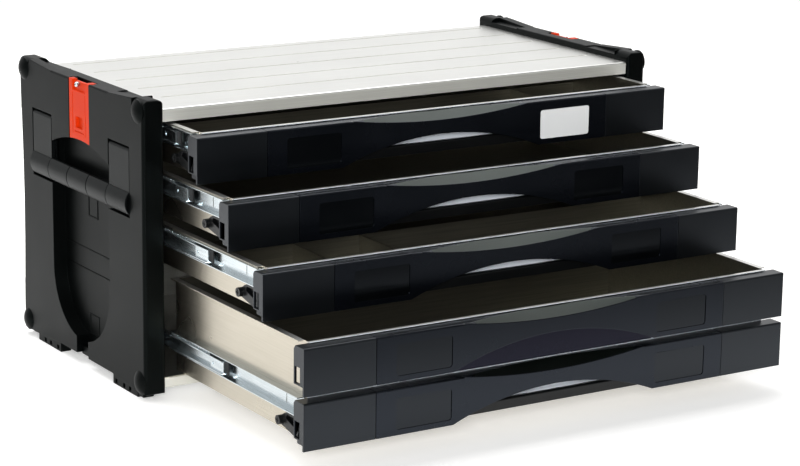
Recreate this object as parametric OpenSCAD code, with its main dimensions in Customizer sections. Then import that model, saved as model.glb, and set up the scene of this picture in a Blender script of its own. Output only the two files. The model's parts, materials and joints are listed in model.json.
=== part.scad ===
// Portable tool box: a sheet-metal case between two moulded side panels that stack on
// a second box, with four drawers on full-extension ball-bearing runners. The drawers
// stand open by different amounts; the deepest one is two rows high.
// Millimetres. +Z is up, the drawers pull out towards -Y, and the feet stand on z = 0.

/* [Case] */
// Width over the flat outer faces of the two side panels
case_w = 611; // [560:1:680]
// Depth of the side panels, front to back
case_d = 287; // [286:1:330]
// Thickness of a side panel
panel_t = 23.5; // [23:0.5:30]
// Radius of the rounded panel edges seen from the front
panel_edge_r = 8; // [4:0.5:10]
// How far the panel's corners stand above its middle
top_dip = 3.5; // [2:0.5:5]
// How far the corners stand behind the waist of the panels' rear edge
rear_flare = 6.5; // [4:0.5:8]
// How far the bottom edge rises between the feet
base_rise = 5; // [3:0.5:7]
// Height of a foot below the panel's bottom corner
foot_drop = 5.5; // [4:0.5:8]
// Thickness of the top, bottom and back sheets
sheet_t = 1.5; // [1:0.1:2.5]
// Height of the top plate's folded lip
top_lip_h = 13; // [8:0.5:20]
// Height of the bottom plate's folded lip
base_lip_h = 11.4; // [8:0.2:16]
// How far the side panels stand above the top plate
rim_h = 10; // [8.5:0.5:16]

/* [Stacking] */
// Length of the block at each top corner of a panel
block_l = 22.5; // [20:0.5:28]
// Length of a stacking pocket
pocket_l = 53; // [40:1:56]
// Depth of a stacking pocket below the panel's corners
pocket_depth = 4.6; // [4:0.1:8]
// Thickness of the rim outside a stacking pocket
pocket_rim_t = 11; // [9:0.5:13]
// How far pockets, handle, recess and latch sit behind the panel's middle
back_shift = 2.5; // [0:0.5:5]
// Length of a foot
foot_l = 56.5; // [40:0.5:60]
// Width of a foot
foot_w = 12; // [9:0.5:13]
// From the panel's front edge to its front foot
foot_front = 18.5; // [17.5:0.5:26]
// From the panel's rear edge to its rear foot
foot_rear = 29; // [20:0.5:34]

/* [Hand recess] */
// Half the width of the recess behind the handle
recess_hw = 67.5; // [60:0.5:72]
// Depth of the recess
recess_depth = 15; // [12:0.5:17]
// Lowest point of the recess above the panel's bottom corner
recess_base_z = 22; // [16:1:40]
// Height at which the recess's straight sides end
recess_side_z = 222; // [215:1:226]
// Rise of the arch over the recess
recess_rise = 13; // [6:1:16]
// Half the width of the slot that opens the recess downwards
slot_hw = 13.6; // [8:0.2:20]

/* [Handle] */
// Width of a handle arm
arm_w = 45; // [36:1:50]
// Thickness of a handle arm
arm_t = 7; // [6:0.5:9]
// Height of the pin that the handle swings on
arm_pin_z = 244; // [240:0.5:250]
// Diameter of the handle pins
arm_pin_d = 4; // [3:0.5:5]
// Height of the middle of the grip
grip_z = 191.5; // [186:0.5:196]
// Height of the grip's shell
grip_h = 23; // [20:1:28]
// How far the grip bulges out of the panel
grip_out = 4.5; // [3:0.5:8]
// Wall of the grip's shell
grip_t = 3; // [2:0.5:4]
// Side clearance of a handle arm in its pocket
arm_gap = 1.2; // [0.8:0.1:2]

/* [Stacking latch] */
// Width of the sliding latch
latch_w = 47; // [36:1:50]
// Thickness of the latch
latch_t = 6; // [5:0.5:7]
// Width of each raised rail along the latch
latch_rail_w = 9; // [7:0.5:13]
// Sliding clearance of the latch
latch_gap = 0.35; // [0.3:0.05:0.6]
// Diameter of the eyelet's round head
eyelet_d = 5.5; // [4:0.5:7]

/* [Drawer fronts] */
// Height of one drawer front
front_h = 45.9; // [42:0.1:60]
// Gap between two fronts
front_gap = 6.4; // [5.5:0.1:12]
// Depth of a front, face to tray
front_d = 16.5; // [15.5:0.5:22]
// Wall of the moulded fronts
front_wall = 3; // [2:0.25:3.5]
// Clearance between a front and a side panel
side_gap = 0.6; // [0.4:0.1:1.5]
// Gap between the closed fronts and the plates above and below
shut_gap = 2; // [1.5:0.1:4]
// Where the centre piece meets the end caps, from the middle
seam_x = 204; // [190:1:215]
// Gap at that seam
seam_gap = 0.4; // [0.1:0.1:1]
// Half the width of the scoop in a front's top edge
scoop_hw = 115; // [90:1:125]
// Depth of the scoop on the face
scoop_depth = 8; // [5:0.5:10]
// Half the width of the finger arch in a front's lower edge
arch_hw = 118; // [90:1:125]
// Rise of the finger arch
arch_rise = 23.5; // [18:0.5:26]
// Width of a label recess
label_w = 62; // [50:1:66]
// Height of a label recess
label_h = 31; // [24:1:33]
// Distance of a label recess from the middle
label_x = 120; // [119:1:128]
// Depth of a label recess
label_depth = 0.8; // [0.4:0.1:1.2]
// Thickness of the blank plate in the top right label recess
badge_t = 1.1; // [0.9:0.1:1.5]
// How deep the side wall of an end cap reaches
cap_d = 19; // [17.5:0.5:22]

/* [Trays and runners] */
// Thickness of the tray sheet
tray_t = 0.8; // [0.6:0.1:1.5]
// Space for a runner between side panel and tray
runner_w = 13.5; // [13:0.1:16]
// Height of the runner's drawer member
runner_h = 19; // [17:0.5:19.5]
// Sheet thickness of the runner members
runner_t = 1; // [0.8:0.1:1.2]
// Length of each runner member
runner_l = 256; // [240:1:256]
// Opening travel of a drawer
travel = 275; // [200:1:275]
// Height of the dividers in trays 1 and 3
divider_h = 24; // [15:1:38]
// Thickness of a divider
divider_t = 1; // [0.8:0.1:2]
// Place of the cross divider in tray 1, from the middle
divider_x1 = 182; // [60:1:240]
// Place of the left cross divider in tray 3
divider_x3 = -166; // [-240:1:-100]
// Distance to the next cross divider in tray 3
divider_pitch = 78; // [40:1:90]
// Space behind a closed tray
rear_gap = 3; // [2:0.5:8]
// How far drawer 1, the top one, stands open
open_1 = 68; // [30:1:120]
// How far drawer 2 stands open
open_2 = 131; // [100:1:160]
// How far drawer 3 stands open
open_3 = 198; // [160:1:230]
// How far drawer 4 stands open
open_4 = 275; // [240:1:275]

/* [Release] */
// Diameter of the release bar's journals
journal_d = 5; // [4:0.5:6]
// Running clearance on radius of pins and journals
run_gap = 0.06; // [0.02:0.01:0.1]
// Distance of the catch stud behind the front's face
stud_y = 51; // [44:1:56]
// Diameter of the catch stud
stud_d = 9; // [7:0.5:10]

/* [Hidden] */
$fn = 48;
e = 0.01;                      // overshoot of a cut
long_fn = 360;                 // facets of the very large arcs

// Colours
moulded = "#3c3f40";
front_black = "#22252b";
aluminium = "#d9dadb";
steel = "#b4b0a8";
zinc = "#c6ccce";
latch_red = "#f0502b";
rubber_black = "#151515";

// Heights above the panel's bottom corner. Rows are counted from the top, 1 to 5.
rows = 5;
pitch = front_h + front_gap;
base_top_z = base_rise + base_lip_h;
sill_z = base_top_z + shut_gap;
function row_z(k) = sill_z + (rows - k) * pitch;
plate_under_z = row_z(1) + front_h + shut_gap + 1.5;
plate_top_z = plate_under_z + top_lip_h;
panel_h = plate_top_z + rim_h;
handle_y = case_d / 2 + back_shift;     // middle of handle, recess and latch

// Half widths, from the middle of the case
outer_x = case_w / 2;
inner_x = outer_x - panel_t;
tray_x = inner_x - runner_w;
cap_x = inner_x - side_gap;

// Drawers
open_by = [open_1, open_2, open_3, open_4];
mid_share = [0.6, 0.5, 0.54, 0.5];      // of its drawer's travel that an intermediate member makes
back_y = case_d - 4;           // outer face of the plates' rear lips
tray_rear_y = back_y - sheet_t - rear_gap;
tray_lift = 4;                 // tray floor above the lower edge of its front
tray_over = 1.5;               // tray rim above the upper edge of its front
rim_flange = 6;                // width of the tray's side flanges
runner_z = front_h - tray_lift - 5.2;   // middle of a runner above the front's lower edge
runner_y = cap_d + 1;          // front end of a runner behind the closed face
bumper_l = 6;
bumper_t = 1.5;
runner_block_l = 26;

// Moves the case frame, whose y = 0 is the panels' front edge and whose z = 0 is their
// bottom corner, to the middle of the footprint with the drawers open.
module stand() {
    translate([0, (open_4 - case_d - rear_flare) / 2, foot_drop]) children();
}

// Draws its children at the drawer's place: y = 0 on the face, z = 0 on the lower edge
// of the front in row k.
module at_row(k) {
    drawer = min(k, 4);
    stand() translate([0, -open_by[drawer - 1], row_z(k)]) children();
}

// Left is drawn with x = 0 on the panel's outer face and +X inwards.
module on_left() {
    stand() translate([-outer_x, 0, 0]) children();
}
module on_right() {
    mirror([1, 0, 0]) on_left() children();
}
module both_sides() {
    children();
    mirror([1, 0, 0]) children();
}

// Extrudes a y-z outline from x0 to x1.
module slab(x0, x1) {
    translate([x0, 0, 0]) rotate([90, 0, 90]) linear_extrude(height = x1 - x0) children();
}
// Extrudes an x-z outline from y0 to y1.
module wall(y0, y1) {
    translate([0, y1, 0]) rotate([90, 0, 0]) linear_extrude(height = y1 - y0) children();
}
// A bar along X or Y of radius r.
module bar_x(x0, x1, y, z, r) {
    translate([x0, y, z]) rotate([0, 90, 0]) cylinder(r = r, h = x1 - x0);
}
module bar_y(y0, y1, x, z, r) {
    translate([x, y0, z]) rotate([-90, 0, 0]) cylinder(r = r, h = y1 - y0);
}
module rounded_rect(w, h, r) {
    translate([r, 0]) square([w - 2 * r, h]);
    translate([0, r]) square([w, h - 2 * r]);
    for (x = [r, w - r], y = [r, h - r]) translate([x, y]) circle(r = r);
}
// Arc radius from half chord and rise
function arc_r(half, rise) = (half * half + rise * rise) / (2 * rise);

// ---------- side panels ----------

panel_plan_r = 4;              // radius of the panel's upright edges
corner_r = 3;                  // radius of its corners seen from the side
base_edge_r = 3;               // radius of its lower edges seen from the front
shoulder_r = 2;                // radius of its edges between the stacking pockets
rim_r = 1.5;                   // radius of the pockets' rims
front_pocket_y = block_l + back_shift;                       // front end of each pocket
rear_pocket_y = case_d - block_l - pocket_l + back_shift;
grip_depth = 9;                // arm pockets' depth
arm_out = recess_hw + 1.5 + arm_w;      // outer edge of an arm from the handle's middle
arm_pin_x = arm_t / 2 + 0.3;
arm_top_z = arm_pin_z + arm_t / 2;
arm_pocket_top_z = arm_top_z + 2;
arm_pocket_low_z = grip_z - grip_h / 2 - 2.8;
latch_top_z = panel_h - top_dip;
groove_low_z = 238;            // lower end of the latch's guide grooves
tongue_w = 2.2;                // how far the latch's tongues reach into the grooves
tongue_t = 2.2;
dome_base_r = 12;
dome_h = 4.5;

// Side view: corners stand higher than the middle and behind it, and the lower edge rises
// between the feet.
module panel_outline() {
    d = case_d + rear_flare;
    h = panel_h;
    steps = 12;
    rear_edge = [for (k = [0:steps]) [case_d + rear_flare * pow(2 * k / steps - 1, 2),
                                      corner_r + (h - 2 * corner_r) * k / steps]];
    polygon(concat([[corner_r, 0], [foot_front + foot_l, base_rise],
                    [case_d - foot_rear - foot_l, base_rise], [d - corner_r, 0]],
                   rear_edge,
                   [[d - corner_r, h], [rear_pocket_y + pocket_l, h], [rear_pocket_y, h - top_dip],
                    [front_pocket_y + pocket_l, h - top_dip], [front_pocket_y, h],
                    [corner_r, h], [0, h - corner_r], [0, corner_r]]));
    for (y = [corner_r, d - corner_r], z = [corner_r, h - corner_r])
        translate([y, z]) circle(r = corner_r);
}

module recess_outline() {
    arch_r = arc_r(recess_hw, recess_rise);
    translate([handle_y, recess_base_z + recess_hw]) circle(r = recess_hw, $fn = 120);
    translate([handle_y - recess_hw, recess_base_z + recess_hw])
        square([2 * recess_hw, recess_side_z - recess_base_z - recess_hw]);
    intersection() {
        translate([handle_y, recess_side_z + recess_rise - arch_r]) circle(r = arch_r, $fn = long_fn);
        translate([handle_y - recess_hw, recess_side_z - 1]) square([2 * recess_hw, 2 * recess_rise]);
    }
    translate([handle_y - slot_hw, -1]) square([2 * slot_hw, recess_base_z + slot_hw]);
}

// Round rubber-like bumper at a corner, standing dome_h proud of the outer face
module corner_dome(y, z) {
    r = arc_r(dome_base_r, dome_h);
    intersection() {
        translate([r - dome_h, y, z]) sphere(r = r, $fn = 64);
        bar_x(-2 * dome_h, 2, y, z, dome_base_r, $fn = 64);
    }
}

// Foot that stands on the rim of the box below, with three square holes; y = 0 is the end
// towards the panel's middle.
module foot() {
    hole = 4.5;
    difference() {
        translate([0, 0, -foot_drop]) cube([foot_w, foot_l, foot_drop + base_rise + 2]);
        for (y = [7.5, 25.5, 39]) translate([-e, y - hole / 2, -foot_drop + 1.7]) cube([3, hole, hole]);
    }
}

// Section from front to back through the corner blocks
module block_section() {
    half = panel_h / 2;
    intersection() {
        rounded_rect(panel_t, panel_h, panel_edge_r);
        translate([0, half]) square([panel_t, half]);
    }
    intersection() {
        rounded_rect(panel_t, panel_h, base_edge_r);
        square([panel_t, half]);
    }
}

// The corner blocks are rounded most, the middle less and the rims of the pockets least.
module panel_body() {
    low_h = panel_h - top_dip;
    intersection() {
        slab(0, panel_t) panel_outline();
        linear_extrude(height = panel_h + 1) rounded_rect(panel_t, case_d + rear_flare, panel_plan_r);
        union() {
            wall(-1, front_pocket_y) block_section();
            wall(rear_pocket_y + pocket_l, case_d + rear_flare + 1) block_section();
            wall(front_pocket_y - 1, rear_pocket_y + pocket_l + 1) rounded_rect(panel_t, low_h, shoulder_r);
            for (y = [front_pocket_y, rear_pocket_y])
                wall(y - 1, y + pocket_l) rounded_rect(panel_t, panel_h, rim_r);
        }
    }
}

// One side panel with its outer face at x = 0
module side_panel() {
    h = panel_h;
    foot_x = 0.8;
    difference() {
        union() {
            panel_body();
            translate([foot_x, case_d - foot_rear - foot_l, 0]) foot();
            translate([foot_x, foot_front + foot_l, 0]) mirror([0, 1, 0]) foot();
            // lug under the front corner
            translate([foot_x, 6, -3]) cube([foot_w, 11, 8]);
            for (y = [dome_base_r, case_d + rear_flare - dome_base_r], z = [dome_base_r, h - dome_base_r])
                corner_dome(y, z);
        }
        // stacking pockets, open towards the inside
        for (y = [front_pocket_y, rear_pocket_y])
            translate([pocket_rim_t, y, h - pocket_depth])
                cube([panel_t, pocket_l, pocket_depth + 1]);
        // hand recess
        slab(-1, recess_depth) recess_outline();
        // pockets of the handle arms, open to the recess
        for (s = [0, 1])
            translate([0, handle_y, 0]) mirror([0, s, 0])
                translate([-1, recess_hw - e, arm_pocket_low_z])
                    cube([grip_depth + 1, arm_out + arm_gap - recess_hw + e,
                          arm_pocket_top_z - arm_pocket_low_z]);
        // bores of the hinge pins
        for (s = [-1, 1])
            translate([0, handle_y + s * (arm_out - arm_w / 2), 0])
                bar_y(-arm_w / 2 - 9, arm_w / 2 + 9, arm_pin_x, arm_pin_z, arm_pin_d / 2);
        // channel of the latch, its guide grooves and the gap behind its top
        translate([-1, handle_y - latch_w / 2 - latch_gap, recess_side_z])
            cube([latch_t + 2 * latch_gap + 1, latch_w + 2 * latch_gap, h]);
        translate([latch_t - tongue_t - latch_gap, handle_y - latch_w / 2 - tongue_w - 2 * latch_gap,
                   groove_low_z])
            cube([tongue_t + 3 * latch_gap, latch_w + 2 * tongue_w + 4 * latch_gap, h]);
        translate([latch_t, handle_y - latch_w / 2 - latch_gap, latch_top_z - 12])
            cube([5, latch_w + 2 * latch_gap, h]);
    }
    // sill across the lower end of the slot
    sill_x = 6;
    translate([sill_x, handle_y - slot_hw - e, base_rise - 1.8])
        cube([recess_depth - sill_x + e, 2 * slot_hw + 2 * e, 9.3]);
    // raised lines on the recess floor
    rib = 0.6;
    rib_l = 2 * recess_hw - 2;
    for (z = [recess_base_z + recess_hw + 2.5, recess_base_z + recess_hw + 25])
        translate([recess_depth - rib, handle_y - rib_l / 2, z]) cube([rib + 1, rib_l, 1.4]);
    // raised frames above the slot and behind the grip
    frame_w = 22;
    for (z = [recess_base_z + 3, grip_z - 40])
        translate([recess_depth - rib, handle_y - frame_w / 2, z]) difference() {
            cube([rib + 1, frame_w, frame_w]);
            translate([-e, 1.2, 1.2]) cube([rib + e, frame_w - 2.4, frame_w - 2.4]);
        }
}

module side_panel_left() { color(moulded) on_left() side_panel(); }
module side_panel_right() { color(moulded) on_right() side_panel(); }

// ---------- sheet-metal plates ----------

plate_x = inner_x;
plate_front_y = 3;
bend_r = 2.5;

// Shallow tray-shaped cover of sheet: flat on top, lips folded down all round
module folded_plate(top_z, lip_h) {
    l = back_y - plate_front_y;
    difference() {
        slab(-plate_x, plate_x) translate([plate_front_y, top_z - lip_h]) {
            square([l, lip_h - bend_r]);
            translate([bend_r, 0]) square([l - 2 * bend_r, lip_h]);
            for (y = [bend_r, l - bend_r]) translate([y, lip_h - bend_r]) circle(r = bend_r);
        }
        translate([-plate_x + sheet_t, plate_front_y + sheet_t, top_z - lip_h - 1])
            cube([2 * (plate_x - sheet_t), l - 2 * sheet_t, lip_h + 1 - sheet_t]);
    }
}

groove_first_y = 59;
groove_pitch = 51.7;
groove_w = 3;
groove_depth = 0.5;
groove_left = 28;              // bare margin at the left end of a groove
groove_right = 14;

module top_plate() {
    x0 = -plate_x + groove_left;
    x1 = plate_x - groove_right;
    color(aluminium) stand() difference() {
        folded_plate(plate_top_z, top_lip_h);
        // five pressed grooves with round ends
        for (n = [0:4])
            translate([0, groove_first_y + n * groove_pitch, plate_top_z - groove_depth]) {
                translate([x0, -groove_w / 2, 0]) cube([x1 - x0, groove_w, 1]);
                for (x = [x0, x1]) translate([x, 0, 0]) cylinder(d = groove_w, h = 1);
            }
        back_holes(plate_under_z + top_lip_h / 2);
    }
}

module bottom_plate() {
    color(aluminium) stand() difference() {
        folded_plate(base_top_z, base_lip_h);
        back_holes(base_rise + base_lip_h / 2);
    }
}

// Pan-head screws along the upper and lower edge of the back
screw_n = 5;
screw_r = 1.5;
screw_head_r = 3.2;
screw_head_h = 1.8;
screw_margin = 30;             // from the end of the back to the first screw
function screw_x(n) = -plate_x + screw_margin + n * 2 * (plate_x - screw_margin) / (screw_n - 1);

module back_holes(z) {
    for (n = [0:screw_n - 1])
        bar_y(back_y - 5, case_d + 5, screw_x(n), z, screw_r + 0.1);
}

module back_panel() {
    z0 = base_rise;
    z1 = plate_top_z - bend_r - 0.5;
    bead = 0.5;
    side_band = 24;
    end_band = 14;
    color(aluminium) stand() difference() {
        translate([-plate_x, back_y, z0]) cube([2 * plate_x, sheet_t, z1 - z0]);
        back_holes(base_rise + base_lip_h / 2);
        back_holes(plate_under_z + top_lip_h / 2);
        // sunk field that stiffens the sheet
        wall(back_y + sheet_t - bead, back_y + sheet_t + 1)
            translate([-plate_x + side_band, base_top_z + end_band])
                rounded_rect(2 * (plate_x - side_band), plate_under_z - base_top_z - 2 * end_band, 10);
    }
}

module case_screws() {
    color(zinc) stand()
        for (n = [0:screw_n - 1], z = [base_rise + base_lip_h / 2, plate_under_z + top_lip_h / 2]) {
            bar_y(back_y - 4, back_y + sheet_t + e, screw_x(n), z, screw_r);
            difference() {
                bar_y(back_y + sheet_t, back_y + sheet_t + screw_head_h, screw_x(n), z, screw_head_r);
                for (a = [0, 90])
                    translate([screw_x(n), back_y + sheet_t + screw_head_h, z]) rotate([0, a, 0])
                        cube([3.6, 1.6, 0.8], center = true);
            }
        }
}

// ---------- handles ----------

grip_hollow = grip_h / 2 - grip_t;      // half height of the grip's hollow
grip_back = 3.5;               // rear edge of the grip's shell
hollow_x = grip_t - grip_out / 2;       // where the hollow's walls meet its back

// Arm on the front (s = -1) or rear (s = 1) end of the grip
module arm(s) {
    y0 = handle_y + s * (arm_out - arm_w / 2) - arm_w / 2;
    low_z = grip_z - grip_hollow;
    difference() {
        union() {
            translate([arm_pin_x - arm_t / 2, y0, low_z]) cube([arm_t, arm_w, arm_pin_z - low_z]);
            bar_y(y0, y0 + arm_w, arm_pin_x, arm_pin_z, arm_t / 2);
        }
        bar_y(y0 - 1, y0 + arm_w + 1, arm_pin_x, arm_pin_z, arm_pin_d / 2 + run_gap);
    }
}

// Half-round hollow shell of the grip, bulging outwards, between two y positions
module grip_shell(y0, y1) {
    r = arc_r(grip_h / 2, grip_out);
    crown = grip_t - grip_out;
    wall(y0, y1) translate([0, grip_z]) difference() {
        intersection() {
            translate([r - grip_out, 0]) circle(r = r, $fn = 96);
            translate([-grip_out - 1, -grip_h / 2]) square([grip_out + 1 + grip_back, grip_h]);
        }
        polygon([[grip_back + 1, -grip_hollow], [grip_back + 1, grip_hollow], [hollow_x, grip_hollow],
                 [crown, grip_hollow / 2], [crown, -grip_hollow / 2], [hollow_x, -grip_hollow]]);
    }
}

grip_seam = 0.5;
grip_end_y = arm_out - arm_w;  // inner end of an arm from the middle
segment_l = 2 * grip_end_y / 3;

// The two arms with the grip segments at their ends, and the bar between them
module handle_bail() {
    for (s = [-1, 1]) arm(s);
    grip_shell(handle_y - arm_out, handle_y - grip_end_y);
    grip_shell(handle_y + grip_end_y, handle_y + arm_out);
    // flat bar that joins both arms and carries the grip's shell
    translate([hollow_x, handle_y - arm_out + 2, grip_z - grip_hollow])
        cube([grip_back - 0.3 - hollow_x, 2 * arm_out - 4, 2 * grip_hollow]);
}

// Three grip segments between the arms, seated on that bar
module handle_grip() {
    for (n = [0:2])
        grip_shell(handle_y - grip_end_y + n * segment_l + grip_seam,
                   handle_y - grip_end_y + (n + 1) * segment_l - grip_seam);
}

module handle_bail_left() { color(moulded) on_left() handle_bail(); }
module handle_bail_right() { color(moulded) on_right() handle_bail(); }
module handle_grip_left() { color(moulded) on_left() handle_grip(); }
module handle_grip_right() { color(moulded) on_right() handle_grip(); }

module hinge_pins() {
    color(zinc) both_sides() on_left()
        for (s = [-1, 1])
            translate([0, handle_y + s * (arm_out - arm_w / 2), 0])
                bar_y(-arm_w / 2 - 9, arm_w / 2 + 9, arm_pin_x, arm_pin_z, arm_pin_d / 2);
}

// ---------- stacking latches ----------

latch_x = latch_gap;           // outer face of the latch behind the panel's outer face
eyelet_z = latch_top_z - 4.1;
eyelet_y = handle_y + 3;
eyelet_x = 0;                  // middle of its round head

module latch() {
    arch_r = arc_r(recess_hw, recess_rise);
    y0 = handle_y - latch_w / 2;
    y1 = handle_y + latch_w / 2;
    face = 2.6;                // depth of the sunk field between the rails
    difference() {
        union() {
            slab(latch_x, latch_x + latch_t) difference() {
                translate([y0, recess_side_z + 2]) square([latch_w, latch_top_z - recess_side_z - 2]);
                translate([handle_y, recess_side_z + recess_rise - arch_r]) circle(r = arch_r, $fn = long_fn);
            }
            // tongues that slide in the panel's grooves
            translate([latch_x + latch_t - tongue_t, y0 - tongue_w, groove_low_z + 0.3])
                cube([tongue_t, latch_w + 2 * tongue_w, latch_top_z - 3 - groove_low_z]);
            // hook that turns in over the panel's top
            translate([latch_x + latch_t - 2, y0, latch_top_z - 3]) cube([5.5, latch_rail_w, 3]);
        }
        // upper field, open at the top, that holds the eyelet
        translate([latch_x - 1, y0 + latch_rail_w, latch_top_z - 11])
            cube([face + 1, latch_w - 2 * latch_rail_w, 12]);
        translate([latch_x - 1, y0 + latch_rail_w, latch_top_z - 1.6])
            cube([latch_t + 2, latch_w - 2 * latch_rail_w, 3]);
        // outline groove of the middle panel
        for (y = [y0 + latch_rail_w - 1, y1 - latch_rail_w])
            translate([latch_x - 1, y, recess_side_z + 18]) cube([1.6, 1, latch_top_z - recess_side_z - 31]);
        // finger pocket and the slot under it
        translate([latch_x - 1, handle_y - 8, recess_side_z + 25]) cube([4.5, 16, 11.5]);
        translate([latch_x - 1, handle_y - 10.5, recess_side_z + 20.5]) cube([1.8, 21, 1.2]);
        bar_x(latch_x - 1, latch_x + latch_t + 1, eyelet_y, eyelet_z, eyelet_d / 2 - 1);
    }
}

// Round-headed eyelet through the latch's upper field
module latch_eyelet() {
    difference() {
        union() {
            translate([eyelet_x, eyelet_y, eyelet_z]) sphere(d = eyelet_d);
            bar_x(eyelet_x, latch_x + latch_t, eyelet_y, eyelet_z, eyelet_d / 2 - 1);
        }
        bar_x(eyelet_x - eyelet_d, latch_x + latch_t + 1, eyelet_y, eyelet_z, eyelet_d / 2 - 1.8);
    }
}

module latch_left() { color(latch_red) on_left() latch(); }
module latch_right() { color(latch_red) on_right() latch(); }
module latch_eyelet_left() { color(zinc) on_left() latch_eyelet(); }
module latch_eyelet_right() { color(zinc) on_right() latch_eyelet(); }

// ---------- drawer fronts ----------

bevel = 1.2;                   // bevel along a front's top edge
scoop_rear = 3.2;              // depth of the scoop at the tray
bar_rise = 14.5;               // top of the release bar above the front's lower edge

// Upright section through face and top wall
module front_section() {
    polygon([[0, 0], [front_wall, 0], [front_wall, front_h - front_wall],
             [front_d, front_h - front_wall], [front_d, front_h], [bevel, front_h],
             [0, front_h - bevel]]);
}

// Centre piece of a front. A blank one has a wall where the others have a release bar.
module front_centre(blank) {
    hw = seam_x - seam_gap / 2;
    r_scoop = arc_r(scoop_hw, scoop_depth);
    r_arch = arc_r(arch_hw, arch_rise);
    body_z = arch_rise + 6;
    tilt = atan((scoop_depth - scoop_rear) / front_d);
    difference() {
        union() {
            slab(-hw, hw) front_section();
            // solid beam between scoop and arch
            translate([-scoop_hw - 8, 0, body_z])
                cube([2 * scoop_hw + 16, front_d, front_h - bevel - body_z]);
            // ribs that carry the centre piece on the tray
            for (x = [-hw, -scoop_hw - 8, scoop_hw + 8 - front_wall, hw - front_wall])
                translate([x, 0, bar_rise + 2]) cube([front_wall, front_d, front_h - bar_rise - 4]);
            if (blank)
                translate([-arch_hw - 4, 9, 2.5]) cube([2 * arch_hw + 8, 2.5, body_z]);
        }
        // scoop: a wide cylinder that rises towards the tray
        translate([0, 0, front_h - scoop_depth]) rotate([tilt, 0, 0])
            bar_y(-front_d, 3 * front_d, 0, r_scoop, r_scoop, $fn = long_fn);
        // finger arch
        if (blank)
            bar_y(-1, front_wall + 1, 0, arch_rise - r_arch, r_arch, $fn = long_fn);
        else
            bar_y(-1, front_d + 1, 0, arch_rise - r_arch, r_arch, $fn = long_fn);
        // label recesses
        for (x = [-label_x - label_w, label_x])
            wall(-1, label_depth) translate([x, front_h - 9.5 - label_h]) rounded_rect(label_w, label_h, 3);
    }
}

// Left end cap; its outer face is at x = -cap_x. A blank one carries no release bar.
module cap(blank) {
    x0 = -cap_x;
    x1 = -seam_x - seam_gap / 2;
    side_t = 2.5;
    side_low_z = 8.6;
    window_z = 26;
    bearing_x = x0 + side_t + 1;
    bearing_t = 1.5;
    difference() {
        union() {
            slab(x0, x1) front_section();
            // side wall with a window
            slab(x0, x0 + side_t) difference() {
                polygon([[0, side_low_z], [cap_d, side_low_z], [cap_d, front_h - front_wall],
                         [front_d, front_h], [bevel, front_h], [0, front_h - bevel]]);
                translate([8, side_low_z + 1.6]) square([cap_d - 9.8, window_z - side_low_z - 1.6]);
            }
            // ledge under the window, and the wall behind the face that ties the side wall to it
            translate([x0, front_wall - e, side_low_z]) cube([side_t + 1, cap_d - front_wall, 1.5]);
            translate([x0, front_wall - e, side_low_z]) cube([side_t + 1 + bearing_t, 2, front_h - 12]);
            // bearing wall of the release bar
            if (!blank)
                translate([bearing_x, front_wall - e, 3]) cube([bearing_t, cap_d - 3.5, window_z - 3]);
            // ribs that carry the cap on the tray
            for (x = [-tray_x + 4, x1 - front_wall])
                translate([x, 0, bar_rise + 2]) cube([front_wall, front_d, front_h - bar_rise - 4]);
        }
        if (!blank)
            bar_x(bearing_x - 1, bearing_x + 3, pivot_y, pivot_z, journal_d / 2 + run_gap);
    }
}

module front_1() { color(front_black) at_row(1) front_centre(false); }
module front_2() { color(front_black) at_row(2) front_centre(false); }
module front_3() { color(front_black) at_row(3) front_centre(false); }
module front_4_upper() { color(front_black) at_row(4) front_centre(true); }
module front_4_lower() { color(front_black) at_row(5) front_centre(false); }
module cap_left_1() { color(front_black) at_row(1) cap(false); }
module cap_left_2() { color(front_black) at_row(2) cap(false); }
module cap_left_3() { color(front_black) at_row(3) cap(false); }
module cap_left_4_upper() { color(front_black) at_row(4) cap(true); }
module cap_left_4_lower() { color(front_black) at_row(5) cap(false); }
module cap_right_1() { color(front_black) at_row(1) mirror([1, 0, 0]) cap(false); }
module cap_right_2() { color(front_black) at_row(2) mirror([1, 0, 0]) cap(false); }
module cap_right_3() { color(front_black) at_row(3) mirror([1, 0, 0]) cap(false); }
module cap_right_4_upper() { color(front_black) at_row(4) mirror([1, 0, 0]) cap(true); }
module cap_right_4_lower() { color(front_black) at_row(5) mirror([1, 0, 0]) cap(false); }

// Blank metal plate that fills the right label recess of the top drawer
module badge_plate() {
    gap = 0.3;
    color(aluminium) at_row(1)
        wall(label_depth - badge_t, label_depth)
            translate([label_x + gap, front_h - 9.5 - label_h + gap])
                rounded_rect(label_w - 2 * gap, label_h - 2 * gap, 2.5);
}

// ---------- trays ----------

// Sheet-metal tray behind the fronts of `high` rows; z = 0 is its lowest front's lower edge
module tray(high) {
    z0 = tray_lift;
    z1 = front_h + tray_over + (high - 1) * pitch;
    y0 = front_d;
    l = tray_rear_y - y0;
    hem = 3;
    difference() {
        translate([-tray_x, y0, z0]) cube([2 * tray_x, l, z1 - z0]);
        translate([-tray_x + tray_t, y0 + tray_t, z0 + tray_t])
            cube([2 * (tray_x - tray_t), l - 2 * tray_t, z1]);
    }
    // side flanges with a turned-down edge
    both_sides() {
        translate([-tray_x - rim_flange, y0 + 6, z1 - tray_t]) cube([rim_flange + e, l - 6, tray_t]);
        translate([-tray_x - rim_flange, y0 + 6, z1 - 1.2]) cube([tray_t, l - 6, 1.2]);
    }
    // front rim over the top of the plastic front, and the rear rim
    translate([-tray_x, y0 - hem, z1 - tray_t]) cube([2 * tray_x, hem + e, tray_t]);
    translate([-tray_x, tray_rear_y - 5, z1 - tray_t]) cube([2 * tray_x, 5, tray_t]);
}

module tray_1() { color(steel) at_row(1) tray(1); }
module tray_2() { color(steel) at_row(2) tray(1); }
module tray_3() { color(steel) at_row(3) tray(1); }
module tray_4() { color(steel) at_row(5) tray(2); }

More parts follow.
